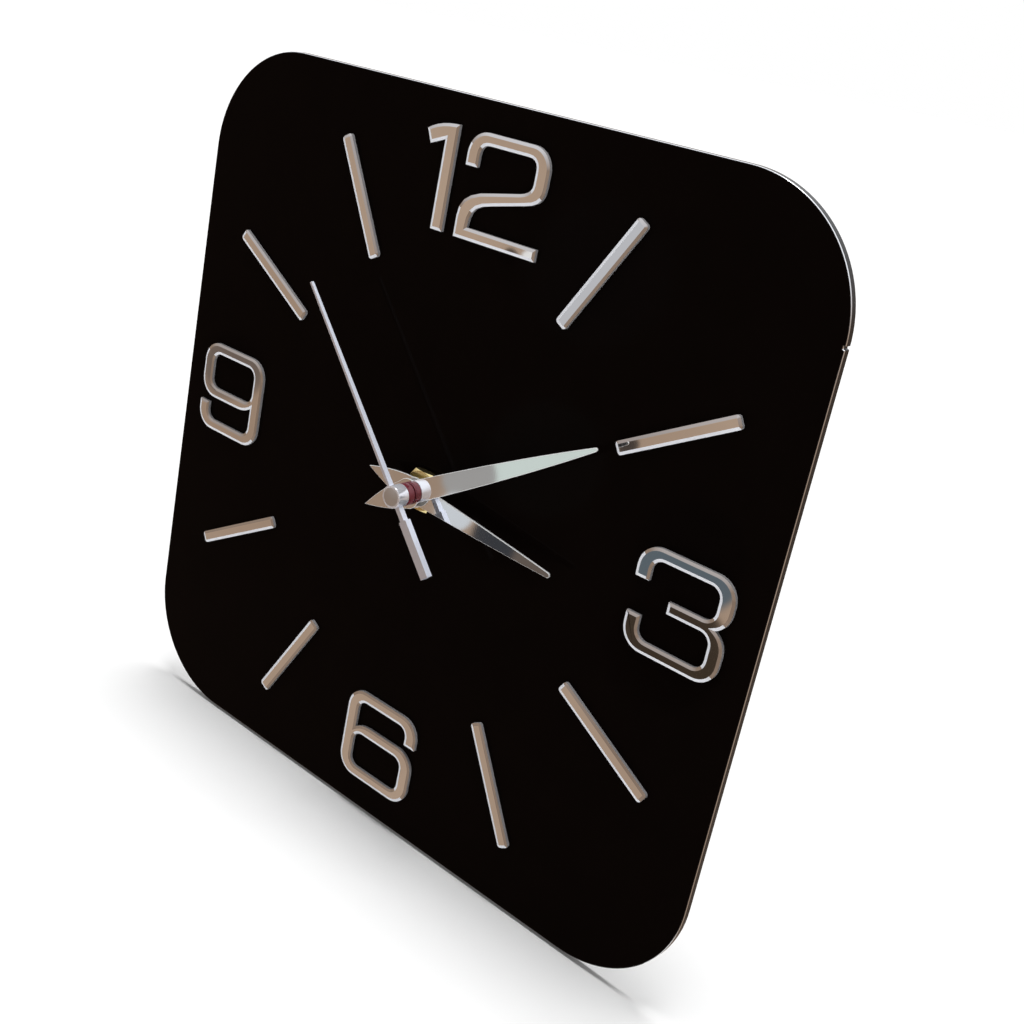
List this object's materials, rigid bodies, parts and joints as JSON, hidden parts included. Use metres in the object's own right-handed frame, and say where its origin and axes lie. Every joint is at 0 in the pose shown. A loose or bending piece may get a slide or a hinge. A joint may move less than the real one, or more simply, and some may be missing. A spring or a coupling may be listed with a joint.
{
  "type": "wall clock",
  "caption": "Square acrylic wall clock with rounded corners, mirror numerals and bars, three sweep hands and a battery quartz movement that hangs by a strap behind it.",
  "frame": {"origin": "on the hands' axis, in the plane of the wall that the movement's back cover lies against", "axes": "+Y into the wall, +Z to twelve o'clock, +X to three o'clock as seen from the front; the dial faces -Y"},
  "size_m": [0.28, 0.0415, 0.28],
  "materials": {
    "black_acrylic": "gloss cast acrylic sheet, laser cut",
    "mirror_acrylic": "clear-faced mirror acrylic sheet",
    "polished_aluminium": "mirror polished",
    "silver_cap": "bright plated",
    "red_plastic": "dark red, satin gloss",
    "brass": "turned brass",
    "gasket_rubber": "soft matt rubber",
    "plated_steel": "zinc plated",
    "black_plastic": "fine spark-eroded texture",
    "knob_plastic": "satin",
    "white_plastic": "natural acetal",
    "magnet": "sintered magnet",
    "copper_wire": "enamelled copper wire",
    "circuit_board": "solder mask",
    "chip_epoxy": "epoxy drop",
    "battery_wrap": "printed film over a steel can"
  },
  "bodies": {
    "dial": {"dial_plate": "black_acrylic", "hour_bar_01": "mirror_acrylic", "hour_bar_02": "mirror_acrylic", "hour_bar_04": "mirror_acrylic", "hour_bar_05": "mirror_acrylic", "hour_bar_07": "mirror_acrylic", "hour_bar_08": "mirror_acrylic", "hour_bar_10": "mirror_acrylic", "hour_bar_11": "mirror_acrylic", "numeral_12_one": "mirror_acrylic", "numeral_12_two": "mirror_acrylic", "numeral_3": "mirror_acrylic", "numeral_6": "mirror_acrylic", "numeral_9": "mirror_acrylic", "dial_nut": "brass", "dial_washer": "brass", "threaded_bush": "brass", "rubber_gasket": "gasket_rubber", "hanger": "plated_steel", "movement_front_case": "black_plastic", "movement_back_cover": "black_plastic", "gear_plate": "white_plastic", "stator": "plated_steel", "coil_bobbin": "white_plastic", "coil_winding": "copper_wire", "circuit_board": "circuit_board", "quartz_crystal": "plated_steel", "chip": "chip_epoxy", "contact_positive": "plated_steel", "contact_negative": "plated_steel"},
    "seconds": {"seconds_wheel": "plated_steel", "second_hand": "polished_aluminium", "second_hand_cap": "silver_cap", "second_hand_hub": "red_plastic"},
    "rotor": {"rotor_pinion": "white_plastic", "rotor_magnet": "magnet"},
    "intermediate": {"intermediate_wheel": "white_plastic"},
    "third": {"third_wheel": "white_plastic"},
    "minute_rim": {"minute_wheel": "white_plastic"},
    "minutes": {"minute_tube": "brass", "minute_hand": "polished_aluminium"},
    "motion": {"motion_wheel": "white_plastic"},
    "hours": {"hour_wheel": "white_plastic", "hour_hand": "polished_aluminium"},
    "knob": {"setting_knob": "knob_plastic"},
    "battery": {"battery_cell": "battery_wrap"}
  },
  "joints": [
    {"name": "second_hand_turn", "type": "hinge", "parent": "dial", "child": "seconds", "pos_m": [0, 0, 0], "axis": [0, 1, 0], "continuous": true},
    {"name": "rotor_turn", "type": "hinge", "parent": "dial", "child": "rotor", "pos_m": [-0.01745, 0, 0.00662], "axis": [0, 1, 0], "continuous": true},
    {"name": "intermediate_turn", "type": "hinge", "parent": "dial", "child": "intermediate", "pos_m": [-0.00883, 0, 0.0051], "axis": [0, 1, 0], "continuous": true},
    {"name": "third_turn", "type": "hinge", "parent": "dial", "child": "third", "pos_m": [0, 0, 0.0102], "axis": [0, 1, 0], "continuous": true},
    {"name": "minute_rim_turn", "type": "hinge", "parent": "dial", "child": "minute_rim", "pos_m": [0, 0, 0], "axis": [0, 1, 0], "continuous": true},
    {"name": "minute_hand_turn", "type": "hinge", "parent": "dial", "child": "minutes", "pos_m": [0, 0, 0], "axis": [0, 1, 0], "continuous": true},
    {"name": "motion_turn", "type": "hinge", "parent": "dial", "child": "motion", "pos_m": [0.00886, 0, -0.00156], "axis": [0, 1, 0], "continuous": true},
    {"name": "hour_hand_turn", "type": "hinge", "parent": "dial", "child": "hours", "pos_m": [0, 0, 0], "axis": [0, 1, 0], "continuous": true},
    {"name": "knob_turn", "type": "hinge", "parent": "dial", "child": "knob", "pos_m": [0.01355, 0, 0.00656], "axis": [0, 1, 0], "continuous": true},
    {"name": "battery_lift", "type": "slide", "parent": "dial", "child": "battery", "axis": [0, 1, 0], "range_m": [0, 0.018]}
  ],
  "couplings": [
    {"joint": "rotor_turn", "follows": "second_hand_turn", "ratio": 30},
    {"joint": "intermediate_turn", "follows": "second_hand_turn", "ratio": -5},
    {"joint": "third_turn", "follows": "second_hand_turn", "ratio": -0.13333},
    {"joint": "minute_rim_turn", "follows": "second_hand_turn", "ratio": 0.016667},
    {"joint": "motion_turn", "follows": "minute_hand_turn", "ratio": -0.33333},
    {"joint": "hour_hand_turn", "follows": "minute_hand_turn", "ratio": 0.083333},
    {"joint": "knob_turn", "follows": "minute_hand_turn", "ratio": 0.85714}
  ]
}
